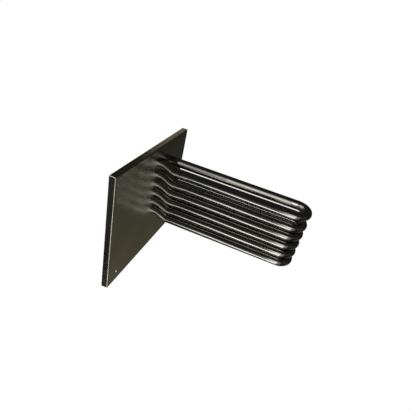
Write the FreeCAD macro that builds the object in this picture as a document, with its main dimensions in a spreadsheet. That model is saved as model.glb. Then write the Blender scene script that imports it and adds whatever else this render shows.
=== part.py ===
# Furnace heat exchanger: a folded sheet panel that carries six hollow U-bent tubes.
# Millimetres. X runs along the tubes, away from the panel; Y across the panel; Z up the stack of tubes.
# The origin is the middle of the panel, on its tube side.

import FreeCAD, Part
import math
import os

import Sketcher

from FreeCAD import Vector

os.makedirs("parts", exist_ok=True)
doc = FreeCAD.newDocument("heat_exchanger")

# Driving dimensions
SIZES = (
    ("panel_width", 600.0),
    ("panel_height", 488.0),
    ("panel_sheet", 1.2),
    ("flange_depth", 25.4),
    ("fold_radius", 2.4),
    ("corner_relief", 2.0),
    ("column_from_left", 397.0),
    ("top_tube_drop", 97.5),
    ("top_tube_pitch", 54.5),
    ("tube_pitch", 44.45),
    ("tube_count", 6.0),
    ("tube_diameter", 38.1),
    ("tube_wall", 1.2),
    ("bend_radius", 45.0),
    ("leg_length", 570.0),
    ("neck_rise", 21.0),
    ("neck_angle", 26.0),
    ("neck_radius", 45.0),
    ("stub_length", 5.0),
    ("lip_height", 2.4),
    ("lip_length", 2.4),
    ("hole_clearance", 0.05),
    ("mounting_hole", 9.0),
    ("mounting_side", 58.0),
    ("mounting_edge", 42.0),
)

# Places worked out from the driving dimensions
PLACES = (
    ("half_width", "Sizes.panel_width / 2"),
    ("half_height", "Sizes.panel_height / 2"),
    ("fold_outside", "Sizes.fold_radius + Sizes.panel_sheet"),
    ("column", "Sizes.column_from_left - half_width"),
    ("top_axis", "half_height - Sizes.top_tube_drop"),
    ("second_axis", "top_axis - Sizes.top_tube_pitch"),
    ("pitches_below", "(Sizes.tube_count - 2) * Sizes.tube_pitch"),
    ("tube_radius", "Sizes.tube_diameter / 2"),
    ("bore_radius", "tube_radius - Sizes.tube_wall"),
    ("hole_radius", "tube_radius + Sizes.hole_clearance"),
    ("lip_radius", "tube_radius + Sizes.lip_height"),
    ("lip_bore", "lip_radius - Sizes.tube_wall"),
    ("lip_back", "Sizes.panel_sheet + Sizes.lip_length"),
    ("neck_bends", "2 * Sizes.neck_radius * sin(Sizes.neck_angle * 1deg)"),
    ("neck_bend_drop", "2 * Sizes.neck_radius * (1 - cos(Sizes.neck_angle * 1deg))"),
    ("neck_slope", "(Sizes.neck_rise - neck_bend_drop) / tan(Sizes.neck_angle * 1deg)"),
    ("neck_end", "Sizes.stub_length + neck_bends + neck_slope"),
    ("mounting_radius", "Sizes.mounting_hole / 2"),
    ("mounting_across", "half_width - Sizes.mounting_side"),
    ("mounting_drop", "half_height - Sizes.mounting_edge"),
    ("relief_across", "half_width - Sizes.corner_relief"),
    ("relief_up", "half_height - Sizes.corner_relief"),
)

sizes = doc.addObject("Spreadsheet::Sheet", "Sizes")
for row, (alias, value) in enumerate(SIZES, start=1):
    sizes.set(f"A{row}", alias)
    sizes.set(f"B{row}", str(value))
    sizes.setAlias(f"B{row}", alias)
doc.recompute()

places = doc.addObject("Spreadsheet::Sheet", "Places")
for row, (alias, formula) in enumerate(PLACES, start=1):
    places.set(f"A{row}", alias)
    places.setAlias(f"B{row}", alias)
    places.set(f"B{row}", "=" + formula)
doc.recompute()

ORIGIN = (-1, 1)
START, END, CENTRE = 1, 2, 3


def number(cell):
    """The value of a cell such as Sizes.leg_length, negative where the name has a minus sign."""
    sign = -1.0 if cell.startswith("-") else 1.0
    sheet, alias = cell.lstrip("-").split(".")
    return sign * float(getattr({"Sizes": sizes, "Places": places}[sheet], alias))


def point(cells):
    """A sketch point from the cells that give its two coordinates, where None stands for zero."""
    return Vector(*[0.0 if cell is None else number(cell) for cell in cells], 0.0)


def plane(body, role):
    return next(item for item in body.Origin.OriginFeatures if item.Role == role)


def add_body(label):
    body = doc.addObject("PartDesign::Body", label)
    body.Label = label
    return body


def add_sketch(body, name, role):
    sketch = body.newObject("Sketcher::SketchObject", name)
    sketch.AttachmentSupport = [(plane(body, role), "")]
    sketch.MapMode = "FlatFace"
    return sketch


def bind(sketch, kind, first, second, cell):
    """Adds one distance or radius and ties it to its cell."""
    value = abs(number(cell))
    ends = (*first, *second) if second else first
    index = sketch.addConstraint(Sketcher.Constraint(kind, *ends, value))
    sketch.setExpression(f"Constraints[{index}]", cell.lstrip("-"))


def fix_point(sketch, vertex, cells):
    """Holds a vertex at the distances from the sketch's origin that two cells give."""
    for kind, cell in zip(("DistanceX", "DistanceY"), cells):
        if cell is None:
            along = 2 if kind == "DistanceX" else 1
            sketch.addConstraint(Sketcher.Constraint("PointOnObject", *vertex, -along))
        elif cell.startswith("-"):
            bind(sketch, kind, vertex, ORIGIN, cell)
        else:
            bind(sketch, kind, ORIGIN, vertex, cell)


def add_polygon(sketch, corners):
    """A closed outline of straight lines whose corners are held by cells."""
    count = len(corners)
    first = sketch.GeometryCount
    for index in range(count):
        ends = point(corners[index]), point(corners[(index + 1) % count])
        sketch.addGeometry(Part.LineSegment(*ends), False)
    for index in range(count):
        edge = first + index
        following = first + (index + 1) % count
        sketch.addConstraint(Sketcher.Constraint("Coincident", edge, END, following, START))
        fix_point(sketch, (edge, START), corners[index])


def add_rectangle(sketch, first, second):
    """A rectangle between two opposite corners."""
    across, up = zip(first, second)
    corners = (across[0], up[0]), (across[1], up[0]), (across[1], up[1]), (across[0], up[1])
    add_polygon(sketch, corners)


def add_circle(sketch, centre, radius):
    circle = Part.Circle(point(centre), Vector(0, 0, 1), number(radius))
    index = sketch.addGeometry(circle, False)
    bind(sketch, "Radius", (index,), None, radius)
    fix_point(sketch, (index, CENTRE), centre)


def add_feature(body, kind, name, **values):
    feature = body.newObject("PartDesign::" + kind, name)
    for key, value in values.items():
        setattr(feature, key, value)
    return feature


def cut_through(body, name, sketch):
    """Cuts a sketch through the panel's face and checks that material went."""
    before = body.Shape.Volume
    pocket = add_feature(body, "Pocket", name, Profile=sketch, Type="ThroughAll", Midplane=True)
    doc.recompute()
    if pocket.Shape.Volume >= before:
        raise RuntimeError(name + " cut nothing")
    return pocket


def row_height(index):
    """The height of one tube's axis above the middle of the panel, as a formula."""
    if index == 0:
        return "Places.top_axis"
    return f"Places.second_axis - {index - 1} * Sizes.tube_pitch"


def shift_sketch(sketch, **cells):
    """Moves a sketch off its plane's origin by cells, each named by its axis."""
    for axis, cell in cells.items():
        sketch.setExpression(f"AttachmentOffset.Base.{axis}", cell)
    doc.recompute()


# Front panel
def add_tube_seats(body, name, height):
    """The two holes of one tube, at the height of its axis; the front one is raised by the neck."""
    seats = add_sketch(body, name, "YZ_Plane")
    shift_sketch(seats, x="Places.column", y=height)
    add_circle(seats, ("-Sizes.bend_radius", "Sizes.neck_rise"), "Places.hole_radius")
    add_circle(seats, ("Sizes.bend_radius", None), "Places.hole_radius")
    return seats


def build_panel():
    body = add_body("front_panel")

    blank = add_sketch(body, "panel_outline", "YZ_Plane")
    low = "-Places.half_width", "-Places.half_height"
    high = "Places.half_width", "Places.half_height"
    add_rectangle(blank, low, high)
    block = add_feature(body, "Pad", "panel_block", Profile=blank, Reversed=True)
    block.setExpression("Length", "Sizes.flange_depth")
    doc.recompute()

    folds = [
        f"Edge{index}"
        for index, edge in enumerate(block.Shape.Edges, start=1)
        if abs(edge.BoundBox.XMin) < 1e-6 and abs(edge.BoundBox.XMax) < 1e-6
    ]
    rounded = add_feature(body, "Fillet", "panel_folds", Base=(block, folds))
    rounded.setExpression("Radius", "Places.fold_outside")
    doc.recompute()

    depths = [face.CenterOfMass.x for face in rounded.Shape.Faces]
    back = f"Face{depths.index(min(depths)) + 1}"
    tray = add_feature(body, "Thickness", "panel_tray", Base=(rounded, [back]), Reversed=True)
    tray.setExpression("Value", "Sizes.panel_sheet")
    doc.recompute()

    reliefs = add_sketch(body, "corner_reliefs", "YZ_Plane")
    for side in ("", "-"):
        for end in ("", "-"):
            outer = side + "Places.half_width", end + "Places.half_height"
            inner = side + "Places.relief_across", end + "Places.relief_up"
            add_rectangle(reliefs, outer, inner)
    cut_through(body, "corner_relief_cut", reliefs)

    mounting = add_sketch(body, "mounting_holes", "YZ_Plane")
    for across in ("-Places.mounting_across", "Places.mounting_across"):
        add_circle(mounting, (across, "-Places.mounting_drop"), "Places.mounting_radius")
    cut_through(body, "mounting_hole_cut", mounting)

    cut_through(body, "top_tube_holes", add_tube_seats(body, "top_seats", "Places.top_axis"))
    seats = add_tube_seats(body, "row_seats", "Places.second_axis")
    row = cut_through(body, "row_tube_holes", seats)
    rows = add_feature(body, "LinearPattern", "tube_hole_rows", Originals=[row], Reversed=True)
    rows.Direction = (seats, ["V_Axis"])
    rows.setExpression("Length", "Places.pitches_below")
    rows.setExpression("Occurrences", "Sizes.tube_count - 1")
    body.Tip = rows
    doc.recompute()
    return body


# Heat tubes
# Each tube's origin lies on the panel's tube side, in the plane of its U bend and midway between its legs.
def add_line(sketch, start, end):
    return sketch.addGeometry(Part.LineSegment(Vector(*start, 0), Vector(*end, 0)), False)


def add_arc(sketch, centre, radius, first, last):
    """An arc from one angle anticlockwise to the other, in degrees."""
    circle = Part.Circle(Vector(*centre, 0), Vector(0, 0, 1), radius)
    arc = Part.ArcOfCircle(circle, math.radians(first), math.radians(last))
    return sketch.addGeometry(arc, False)


def join(sketch, first, first_end, second, second_end):
    sketch.addConstraint(Sketcher.Constraint("Tangent", first, first_end, second, second_end))


def add_neck_route(body):
    """The front mouth's middle line, which climbs from the leg up to its own hole in the panel."""
    route = add_sketch(body, "neck_route", "XZ_Plane")
    shift_sketch(route, z="Sizes.bend_radius")
    rise = number("Sizes.neck_rise")
    turn = number("Sizes.neck_radius")
    angle = number("Sizes.neck_angle")
    stub_end = number("Sizes.stub_length")
    neck_end = number("Places.neck_end")
    across = turn * math.sin(math.radians(angle))
    drop = turn * (1 - math.cos(math.radians(angle)))

    stub = add_line(route, (-number("Sizes.panel_sheet"), rise), (stub_end, rise))
    upper = add_arc(route, (stub_end, rise - turn), turn, 90 - angle, 90)
    slope = add_line(route, (stub_end + across, rise - drop), (neck_end - across, drop))
    lower = add_arc(route, (neck_end, turn), turn, 270 - angle, 270)

    join(route, stub, END, upper, END)
    join(route, upper, START, slope, START)
    join(route, slope, END, lower, START)
    route.addConstraint(Sketcher.Constraint("Horizontal", stub))
    fix_point(route, (stub, START), ("-Sizes.panel_sheet", "Sizes.neck_rise"))
    bind(route, "DistanceX", ORIGIN, (stub, END), "Sizes.stub_length")
    for arc in (upper, lower):
        bind(route, "Radius", (arc,), None, "Sizes.neck_radius")
    fix_point(route, (lower, END), ("Places.neck_end", None))
    doc.recompute()
    return route


def add_leg_route(body):
    """The middle line of the two legs and the U bend between them."""
    route = add_sketch(body, "leg_route", "XY_Plane")
    bend = number("Sizes.bend_radius")
    far = number("Sizes.leg_length")
    front = add_line(route, (number("Places.neck_end"), -bend), (far, -bend))
    turn = add_arc(route, (far, 0), bend, -90, 90)
    back = add_line(route, (far, bend), (-number("Sizes.panel_sheet"), bend))

    join(route, front, END, turn, START)
    join(route, turn, END, back, START)
    for line in (front, back):
        route.addConstraint(Sketcher.Constraint("Horizontal", line))
    bind(route, "Radius", (turn,), None, "Sizes.bend_radius")
    fix_point(route, (turn, CENTRE), ("Sizes.leg_length", None))
    bind(route, "DistanceX", ORIGIN, (front, START), "Places.neck_end")
    bind(route, "DistanceX", (back, END), ORIGIN, "Sizes.panel_sheet")
    doc.recompute()
    return route


def add_ring(body, name, radius, along, up):
    """A circle round the middle line, at one place along the front leg or its neck."""
    ring = add_sketch(body, name, "YZ_Plane")
    shift_sketch(ring, z=along)
    add_circle(ring, ("-Sizes.bend_radius", up), radius)
    doc.recompute()
    return ring


def sweep_tube(body, kind, name, radius, routes):
    """Sweeps one radius along the neck and along the legs."""
    neck, legs = routes
    mouth = add_ring(body, name + "_mouth", radius, "-Sizes.panel_sheet", "Sizes.neck_rise")
    add_feature(body, kind, name + "_neck", Profile=mouth, Spine=(neck, [""]))
    start = add_ring(body, name + "_start", radius, "Places.neck_end", None)
    swept = add_feature(body, kind, name + "_legs", Profile=start, Spine=(legs, [""]))
    doc.recompute()
    return swept


def add_lip(body, name, across, up):
    """The flare that holds one end of the tube behind the panel's sheet."""
    profile = add_sketch(body, name + "_profile", "XY_Plane")
    shift_sketch(profile, y=across, z=up)
    flare = (
        ("-Sizes.panel_sheet", "Places.bore_radius"),
        ("-Sizes.panel_sheet", "Places.hole_radius"),
        ("-Places.lip_back", "Places.lip_radius"),
        ("-Places.lip_back", "Places.lip_bore"),
    )
    add_polygon(profile, flare)
    lip = add_feature(body, "Revolution", name, Profile=profile, Angle=360.0)
    lip.ReferenceAxis = (profile, ["H_Axis"])
    doc.recompute()
    return lip


def build_tube(index):
    body = add_body(f"heat_tube_{index + 1}")
    routes = add_neck_route(body), add_leg_route(body)
    sweep_tube(body, "AdditivePipe", "outside", "Places.tube_radius", routes)
    sweep_tube(body, "SubtractivePipe", "bore", "Places.bore_radius", routes)
    add_lip(body, "front_lip", "-Sizes.bend_radius", "Sizes.neck_rise")
    body.Tip = add_lip(body, "back_lip", "Sizes.bend_radius", "0")
    body.setExpression("Placement.Base.y", "Places.column")
    body.setExpression("Placement.Base.z", row_height(index))
    doc.recompute()
    return body


parts = [build_panel()]
for tube in range(int(sizes.tube_count)):
    parts.append(build_tube(tube))
doc.recompute()

for item in doc.Objects:
    if "Invalid" in item.State or "Error" in item.State:
        raise RuntimeError(item.Name + " failed: " + str(item.State))
for part in parts:
    if part.Shape.isNull() or not part.Shape.isValid():
        raise RuntimeError(part.Label + " has no valid solid")
    part.Shape.exportStep(f"parts/{part.Label}.step")
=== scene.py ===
import math

import bpy
from mathutils import Matrix, Vector


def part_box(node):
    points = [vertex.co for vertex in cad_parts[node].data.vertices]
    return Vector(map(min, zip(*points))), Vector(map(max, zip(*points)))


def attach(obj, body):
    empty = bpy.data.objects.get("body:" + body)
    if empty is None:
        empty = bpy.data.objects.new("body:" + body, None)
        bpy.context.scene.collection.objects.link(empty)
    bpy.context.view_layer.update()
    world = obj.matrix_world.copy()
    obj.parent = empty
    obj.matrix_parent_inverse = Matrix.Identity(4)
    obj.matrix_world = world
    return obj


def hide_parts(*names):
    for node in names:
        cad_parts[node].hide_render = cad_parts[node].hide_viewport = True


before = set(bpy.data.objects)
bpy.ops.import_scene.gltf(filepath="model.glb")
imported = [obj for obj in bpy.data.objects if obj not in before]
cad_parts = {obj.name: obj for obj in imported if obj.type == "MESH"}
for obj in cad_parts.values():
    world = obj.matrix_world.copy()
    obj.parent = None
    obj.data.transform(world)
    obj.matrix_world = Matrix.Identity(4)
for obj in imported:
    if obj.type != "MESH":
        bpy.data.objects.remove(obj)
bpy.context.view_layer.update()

# Camera
# Its place, turn and lens come from the outlines of the panel and of the tubes.
CAMERA_PLACE = (0.4816, -1.1407, 0.7846)
CAMERA_RIGHT = (0.9221, 0.3238, 0.2119)
CAMERA_FORWARD = (-0.1735, 0.8353, -0.5216)
CAMERA_LENS = 29.65

# Sizes of the tubes, in metres, as in the CAD part
TUBE_RADIUS = 0.01905
TUBE_BORE = 0.01785
BEND_RADIUS = 0.045
LEG_END = 0.570
COLUMN = 0.097
NECK_RISE = 0.021
NECK_ANGLE = math.radians(26)
NECK_RADIUS = 0.045
STUB_END = 0.005
SHEET_BACK = -0.0012
LIP_BACK = -0.0036
LIP_RADIUS = 0.02145
LIP_BORE = 0.02025
HOLE_RADIUS = 0.0191

# The bottom flange, whose inner face is 1.2 mm above the panel's lowest face
BOTTOM_FLANGE_DEPTH = 0.0127
BOTTOM_FLANGE_TOP = -0.2425

# Pressed wrinkles along the inner side of each U bend. They end where the cosine of the angle
# round the tube, measured from the bend's outer side, is WRINKLE_REACH. WRINKLE_LIMIT is the
# share of their depth that they keep to, so that they stay shallower than the wall.
WRINKLES = 19
WRINKLE_DEPTH = 0.0016
WRINKLE_REACH = 0.35
WRINKLE_LIMIT = 0.6

# Steps of the meshes
AROUND = 64
WRINKLE_STEPS = 8
BORE_STEPS = 32
NECK_STEPS = 8
LEG_RINGS = (0.15, 0.30, 0.45)

# Sockets that share a name with others of their node, by their place in it
MIX_COLOUR_A = 6
MIX_COLOUR_B = 7
MIX_COLOUR_RESULT = 2
CHOOSE_FIRST = 1
CHOOSE_SECOND = 2


def add_camera():
    """The camera, its right side made square to the way it looks."""
    data = bpy.data.cameras.new("camera")
    data.lens = CAMERA_LENS
    data.sensor_width = 36.0
    camera = bpy.data.objects.new("camera", data)
    bpy.context.collection.objects.link(camera)
    forward = Vector(CAMERA_FORWARD).normalized()
    right = Vector(CAMERA_RIGHT)
    right = (right - forward * right.dot(forward)).normalized()
    up = right.cross(forward)
    turn = Matrix((right, up, -forward)).transposed().to_4x4()
    camera.matrix_world = Matrix.Translation(CAMERA_PLACE) @ turn
    bpy.context.scene.camera = camera


# Tubes
def neck_stations():
    """Middle line of the front neck as (x, height above the leg, downward slope)."""
    across = NECK_RADIUS * math.sin(NECK_ANGLE)
    drop = NECK_RADIUS * (1 - math.cos(NECK_ANGLE))
    slope_run = (NECK_RISE - 2 * drop) / math.tan(NECK_ANGLE)
    end = STUB_END + 2 * across + slope_run
    stations = [(SHEET_BACK, NECK_RISE, 0.0), (0.0, NECK_RISE, 0.0)]
    for step in range(NECK_STEPS + 1):
        angle = NECK_ANGLE * step / NECK_STEPS
        x = STUB_END + NECK_RADIUS * math.sin(angle)
        stations.append((x, NECK_RISE - NECK_RADIUS * (1 - math.cos(angle)), angle))
    for step in range(NECK_STEPS, -1, -1):
        angle = NECK_ANGLE * step / NECK_STEPS
        x = end - NECK_RADIUS * math.sin(angle)
        stations.append((x, NECK_RADIUS * (1 - math.cos(angle)), angle))
    return stations


def tube_stations(steps):
    """One tube's middle line as (place, outward, upward, angle turned in the bend)."""
    up = Vector((0, 0, 1))
    stations = []
    for x, height, slope in neck_stations():
        tilted = Vector((math.sin(slope), 0, math.cos(slope)))
        stations.append((Vector((x, -BEND_RADIUS, height)), Vector((0, -1, 0)), tilted, 0.0))
    for x in LEG_RINGS:
        stations.append((Vector((x, -BEND_RADIUS, 0)), Vector((0, -1, 0)), up, 0.0))
    for step in range(steps + 1):
        angle = math.pi * step / steps
        outward = Vector((math.sin(angle), -math.cos(angle), 0))
        stations.append((Vector((LEG_END, 0, 0)) + outward * BEND_RADIUS, outward, up, angle))
    for x in (*LEG_RINGS[::-1], 0.0, SHEET_BACK):
        stations.append((Vector((x, BEND_RADIUS, 0)), Vector((0, 1, 0)), up, 0.0))
    return stations


def ring(station, radius, wrinkled=False):
    """Points round the middle line; the wrinkles only dent the tube, so it stays in its outside."""
    place, outward, up, turned = station
    wave = 0.5 - 0.5 * math.cos(2 * WRINKLES * turned) if wrinkled else 0.0
    points = []
    for index in range(AROUND):
        angle = 2 * math.pi * index / AROUND
        inner_side = max(0.0, (WRINKLE_REACH - math.cos(angle)) / (1 + WRINKLE_REACH))
        inner_side = min(WRINKLE_LIMIT, inner_side)
        reach = radius - WRINKLE_DEPTH * wave * inner_side
        points.append(place + (outward * math.cos(angle) + up * math.sin(angle)) * reach)
    return points


def lip_ring(station, x, radius):
    """A ring of the flared mouth, behind the station's own place."""
    place, outward, up, turned = station
    return ring((Vector((x, place.y, place.z)), outward, up, turned), radius)


def add_tube(name, height, look):
    """A tube with its wrinkled bend, flared mouths and open bore, in place of its CAD node."""
    outside = tube_stations(WRINKLES * WRINKLE_STEPS)
    inside = tube_stations(BORE_STEPS)[::-1]
    rings = [
        lip_ring(outside[0], LIP_BACK, LIP_RADIUS),
        lip_ring(outside[0], SHEET_BACK, HOLE_RADIUS),
    ]
    rings += [ring(station, TUBE_RADIUS, wrinkled=True) for station in outside]
    rings += [
        lip_ring(outside[-1], SHEET_BACK, HOLE_RADIUS),
        lip_ring(outside[-1], LIP_BACK, LIP_RADIUS),
    ]
    rings.append(lip_ring(inside[0], LIP_BACK, LIP_BORE))
    rings += [ring(station, TUBE_BORE) for station in inside]
    rings.append(lip_ring(inside[-1], LIP_BACK, LIP_BORE))

    move = Vector((0, COLUMN, height))
    vertices = [point + move for points in rings for point in points]
    faces = []
    for this_ring in range(len(rings)):
        first = this_ring * AROUND
        second = (this_ring + 1) % len(rings) * AROUND
        for index in range(AROUND):
            following = (index + 1) % AROUND
            faces.append((first + index, second + index, second + following, first + following))
    mesh = bpy.data.meshes.new(name)
    mesh.from_pydata(vertices, [], faces)
    mesh.polygons.foreach_set("use_smooth", [True] * len(faces))
    mesh.materials.append(look)
    piece = bpy.data.objects.new(name, mesh)
    bpy.context.collection.objects.link(piece)
    return piece


# Panel
def add_panel(look):
    """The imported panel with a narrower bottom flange, in place of its CAD node."""
    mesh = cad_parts["front_panel"].data.copy()
    for vertex in mesh.vertices:
        if vertex.co.z < BOTTOM_FLANGE_TOP and vertex.co.x < -BOTTOM_FLANGE_DEPTH:
            vertex.co.x = -BOTTOM_FLANGE_DEPTH
    for index in range(len(mesh.materials)):
        mesh.materials[index] = look
    panel = bpy.data.objects.new("trimmed_front_panel", mesh)
    bpy.context.collection.objects.link(panel)
    return panel


# Materials
def new_material(name):
    """A material and its one shader."""
    material = bpy.data.materials.new(name)
    material.use_nodes = True
    nodes = material.node_tree.nodes
    nodes.clear()
    output = nodes.new("ShaderNodeOutputMaterial")
    shader = nodes.new("ShaderNodeBsdfPrincipled")
    material.node_tree.links.new(shader.outputs["BSDF"], output.inputs["Surface"])
    return material, shader


def add_noise(material, stretch, scale, detail=4.0, roughness=0.55):
    """Noise in the object's own metres, drawn out along an axis by its stretch."""
    tree = material.node_tree
    place = tree.nodes.new("ShaderNodeTexCoord")
    mapping = tree.nodes.new("ShaderNodeMapping")
    mapping.inputs["Scale"].default_value = stretch
    noise = tree.nodes.new("ShaderNodeTexNoise")
    noise.inputs["Scale"].default_value = scale
    noise.inputs["Detail"].default_value = detail
    noise.inputs["Roughness"].default_value = roughness
    tree.links.new(place.outputs["Object"], mapping.inputs["Vector"])
    tree.links.new(mapping.outputs["Vector"], noise.inputs["Vector"])
    return noise.outputs["Fac"]


def ramp(tree, value, *stops):
    """A colour ramp; each stop is a place and a colour, or a place and a grey."""
    node = tree.nodes.new("ShaderNodeValToRGB")
    elements = node.color_ramp.elements
    while len(elements) < len(stops):
        elements.new(0.5)
    for element, (place, colour) in zip(elements, stops):
        element.position = place
        shade = colour if isinstance(colour, tuple) else (colour, colour, colour)
        element.color = (*shade, 1.0)
    tree.links.new(value, node.inputs["Fac"])
    return node.outputs["Color"]


def add_bump(material, shader, *layers):
    """Bump layers, each a height, a strength and a depth in metres, chained one on another."""
    tree = material.node_tree
    normal = None
    for height, strength, depth in layers:
        bump = tree.nodes.new("ShaderNodeBump")
        bump.inputs["Strength"].default_value = strength
        bump.inputs["Distance"].default_value = depth
        tree.links.new(height, bump.inputs["Height"])
        if normal:
            tree.links.new(normal, bump.inputs["Normal"])
        normal = bump.outputs["Normal"]
    tree.links.new(normal, shader.inputs["Normal"])


def tube_steel():
    """Smooth dark steel with faint drawing marks along the tube."""
    material, shader = new_material("tube_steel_look")
    tree = material.node_tree
    shader.inputs["Metallic"].default_value = 1.0
    draw = add_noise(material, (0.5, 4.0, 4.0), 9.0)
    blotch = add_noise(material, (1.0, 1.0, 1.0), 14.0)
    colour = ramp(tree, blotch, (0.3, (0.29, 0.285, 0.26)), (0.7, (0.38, 0.375, 0.355)))
    tree.links.new(colour, shader.inputs["Base Color"])
    tree.links.new(ramp(tree, draw, (0.3, 0.13), (0.7, 0.15)), shader.inputs["Roughness"])
    add_bump(material, shader, (draw, 0.003, 0.001))
    return material


def panel_steel():
    """Semi-polished sheet steel with an upright grain."""
    material, shader = new_material("panel_steel_look")
    tree = material.node_tree
    shader.inputs["Metallic"].default_value = 1.0
    shader.inputs["Anisotropic"].default_value = 0.95
    upright = tree.nodes.new("ShaderNodeCombineXYZ")
    upright.inputs["X"].default_value = 0.05
    upright.inputs["Z"].default_value = 1.0
    tree.links.new(upright.outputs["Vector"], shader.inputs["Tangent"])
    grain = add_noise(material, (1.0, 60.0, 2.0), 20.0)
    ripple = add_noise(material, (1.0, 9.0, 1.0), 2.6, detail=2.0)
    blotch = add_noise(material, (1.0, 1.0, 1.0), 6.0)
    colour = ramp(tree, blotch, (0.3, (0.36, 0.34, 0.28)), (0.7, (0.46, 0.44, 0.38)))
    tree.links.new(colour, shader.inputs["Base Color"])
    tree.links.new(ramp(tree, grain, (0.3, 0.20), (0.7, 0.26)), shader.inputs["Roughness"])
    add_bump(material, shader, (ripple, 0.15, 0.006), (grain, 0.06, 0.0004))
    return material


# Surroundings
def add_world():
    """White to the camera. What the steel mirrors is dark, lighter and olive low behind it."""
    world = bpy.data.worlds.new("surroundings")
    world.use_nodes = True
    bpy.context.scene.world = world
    tree = world.node_tree
    tree.nodes.clear()
    output = tree.nodes.new("ShaderNodeOutputWorld")
    seen = tree.nodes.new("ShaderNodeBackground")
    mirrored = tree.nodes.new("ShaderNodeBackground")
    choose = tree.nodes.new("ShaderNodeMixShader")
    path = tree.nodes.new("ShaderNodeLightPath")
    seen.inputs["Color"].default_value = (1.0, 1.0, 1.0, 1.0)
    seen.inputs["Strength"].default_value = 1.0

    direction = tree.nodes.new("ShaderNodeTexCoord")
    split = tree.nodes.new("ShaderNodeSeparateXYZ")
    tree.links.new(direction.outputs["Generated"], split.inputs["Vector"])

    level = tree.nodes.new("ShaderNodeMapRange")
    level.inputs["From Min"].default_value = -1.0
    level.inputs["From Max"].default_value = 1.0
    tree.links.new(split.outputs["Z"], level.inputs["Value"])
    height = level.outputs["Result"]
    behind = ramp(
        tree,
        height,
        (0.10, (0.20, 0.185, 0.13)),
        (0.20, (0.12, 0.112, 0.08)),
        (0.28, (0.048, 0.047, 0.040)),
        (0.45, (0.020, 0.018, 0.014)),
        (0.70, (0.029, 0.027, 0.023)),
    )
    before = ramp(tree, height, (0.1, 0.008), (0.35, 0.03), (0.5, 0.10), (0.65, 0.03))
    mix = tree.nodes.new("ShaderNodeMix")
    mix.data_type = "RGBA"
    side = tree.nodes.new("ShaderNodeMapRange")
    side.inputs["From Min"].default_value = -0.1
    side.inputs["From Max"].default_value = 0.3
    tree.links.new(split.outputs["Y"], side.inputs["Value"])
    tree.links.new(side.outputs["Result"], mix.inputs["Factor"])
    tree.links.new(before, mix.inputs[MIX_COLOUR_A])
    tree.links.new(behind, mix.inputs[MIX_COLOUR_B])
    tree.links.new(mix.outputs[MIX_COLOUR_RESULT], mirrored.inputs["Color"])

    tree.links.new(path.outputs["Is Camera Ray"], choose.inputs["Fac"])
    tree.links.new(mirrored.outputs["Background"], choose.inputs[CHOOSE_FIRST])
    tree.links.new(seen.outputs["Background"], choose.inputs[CHOOSE_SECOND])
    tree.links.new(choose.outputs["Shader"], output.inputs["Surface"])


def add_light(
    name, first, last, target, width, brightness, spread=180, colour=(1.0, 0.98, 0.94)
):
    """A rectangular light between two end points, faced to its target."""
    ends = Vector(first), Vector(last)
    middle = (ends[0] + ends[1]) / 2
    along = (ends[1] - ends[0]).normalized()
    facing = Vector(target) - middle
    facing = (facing - along * facing.dot(along)).normalized()
    data = bpy.data.lights.new(name, "AREA")
    data.shape = "RECTANGLE"
    data.size = (ends[1] - ends[0]).length
    data.size_y = width
    data.spread = math.radians(spread)
    # A narrow spread would shine brighter than a full one, by as much as this takes off
    narrowing = 1 - data.spread / 2 / math.tan(data.spread / 2)
    data.energy = brightness * math.pi * data.size * width * narrowing
    data.color = colour
    light = bpy.data.objects.new(name, data)
    turn = Matrix((along, along.cross(facing), -facing)).transposed().to_4x4()
    light.matrix_world = Matrix.Translation(middle) @ turn
    light.visible_camera = False
    bpy.context.collection.objects.link(light)


add_camera()
add_world()

# In front, low: the thin line along each front leg, brighter towards the bends
FRONT_LEGS = (0.30, 0.03, 0.0)
add_light("front_strip", (-0.22, -1.5, -0.43), (0.62, -1.5, -1.70), FRONT_LEGS, 0.60, 1.9)
add_light("front_strip_end", (0.22, -1.45, -1.06), (0.60, -1.45, -1.64), FRONT_LEGS, 0.55, 1.7)

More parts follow.
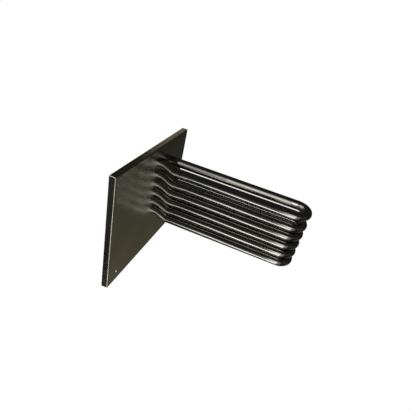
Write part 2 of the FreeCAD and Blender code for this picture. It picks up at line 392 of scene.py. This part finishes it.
# In front, upright: the soft spot at the start of each bend, fading to the right
BEND_STARTS = (0.58, 0.03, 0.1)
BENDS = (0.60, 0.03, 0.1)
add_light("side_core", (0.77, -1.5, -3.5), (0.77, -1.5, 0.5), BEND_STARTS, 0.30, 2.0)
add_light("side_fade", (1.05, -1.5, -3.0), (1.05, -1.5, 0.5), BENDS, 0.26, 0.80)
add_light("mid_side_box", (1.50, -1.5, -2.5), (1.50, -1.5, 0.5), BENDS, 0.64, 0.30)

# Over the gap between the uppermost legs: the broad highlight of the back leg, and the ribs
BACK_LEG = (0.30, 0.142, 0.1465)
BACK_LEG_END = (0.40, 0.142, 0.1465)
RIBS = (0.605, 0.125, 0.150)
add_light(
    "back_leg_strip", (0.03, 0.090, 0.172), (0.556, 0.090, 0.172), BACK_LEG, 0.074, 0.45, 140
)
add_light(
    "back_leg_core", (0.03, 0.088, 0.171), (0.556, 0.088, 0.171), BACK_LEG, 0.036, 0.50, 140
)
add_light(
    "back_leg_end", (0.26, 0.087, 0.169), (0.556, 0.087, 0.169), BACK_LEG_END, 0.048, 0.80, 140
)
add_light("bend_light", (0.560, 0.074, 0.172), (0.600, 0.086, 0.172), RIBS, 0.06, 3.2, 150)

# Behind, and at the left: the two flanges in view
TOP_FLANGE = (0.0, 0.15, 0.244)
LEFT_FLANGE = (0.0, -0.4, 0.0)
TAN = (0.95, 0.82, 0.60)
add_light("flange_card", (-0.35, 1.0, 0.45), (-0.35, 1.0, 0.85), TOP_FLANGE, 0.35, 0.8, 60, TAN)
add_light("left_card", (-0.95, -1.4, -0.8), (-0.60, -1.4, -0.8), LEFT_FLANGE, 0.9, 0.03)

# The pieces, each in place of its CAD node
looks = {"panel_steel": panel_steel(), "tube_steel": tube_steel()}
panel = add_panel(looks["panel_steel"])
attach(panel, "root")
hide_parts("front_panel")
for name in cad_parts:
    if name.startswith("heat_tube"):
        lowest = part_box(name)[0][2]
        tube = add_tube("wrinkled_" + name, lowest + LIP_RADIUS, looks["tube_steel"])
        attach(tube, "root")
        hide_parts(name)

bpy.context.scene.view_settings.view_transform = "Standard"
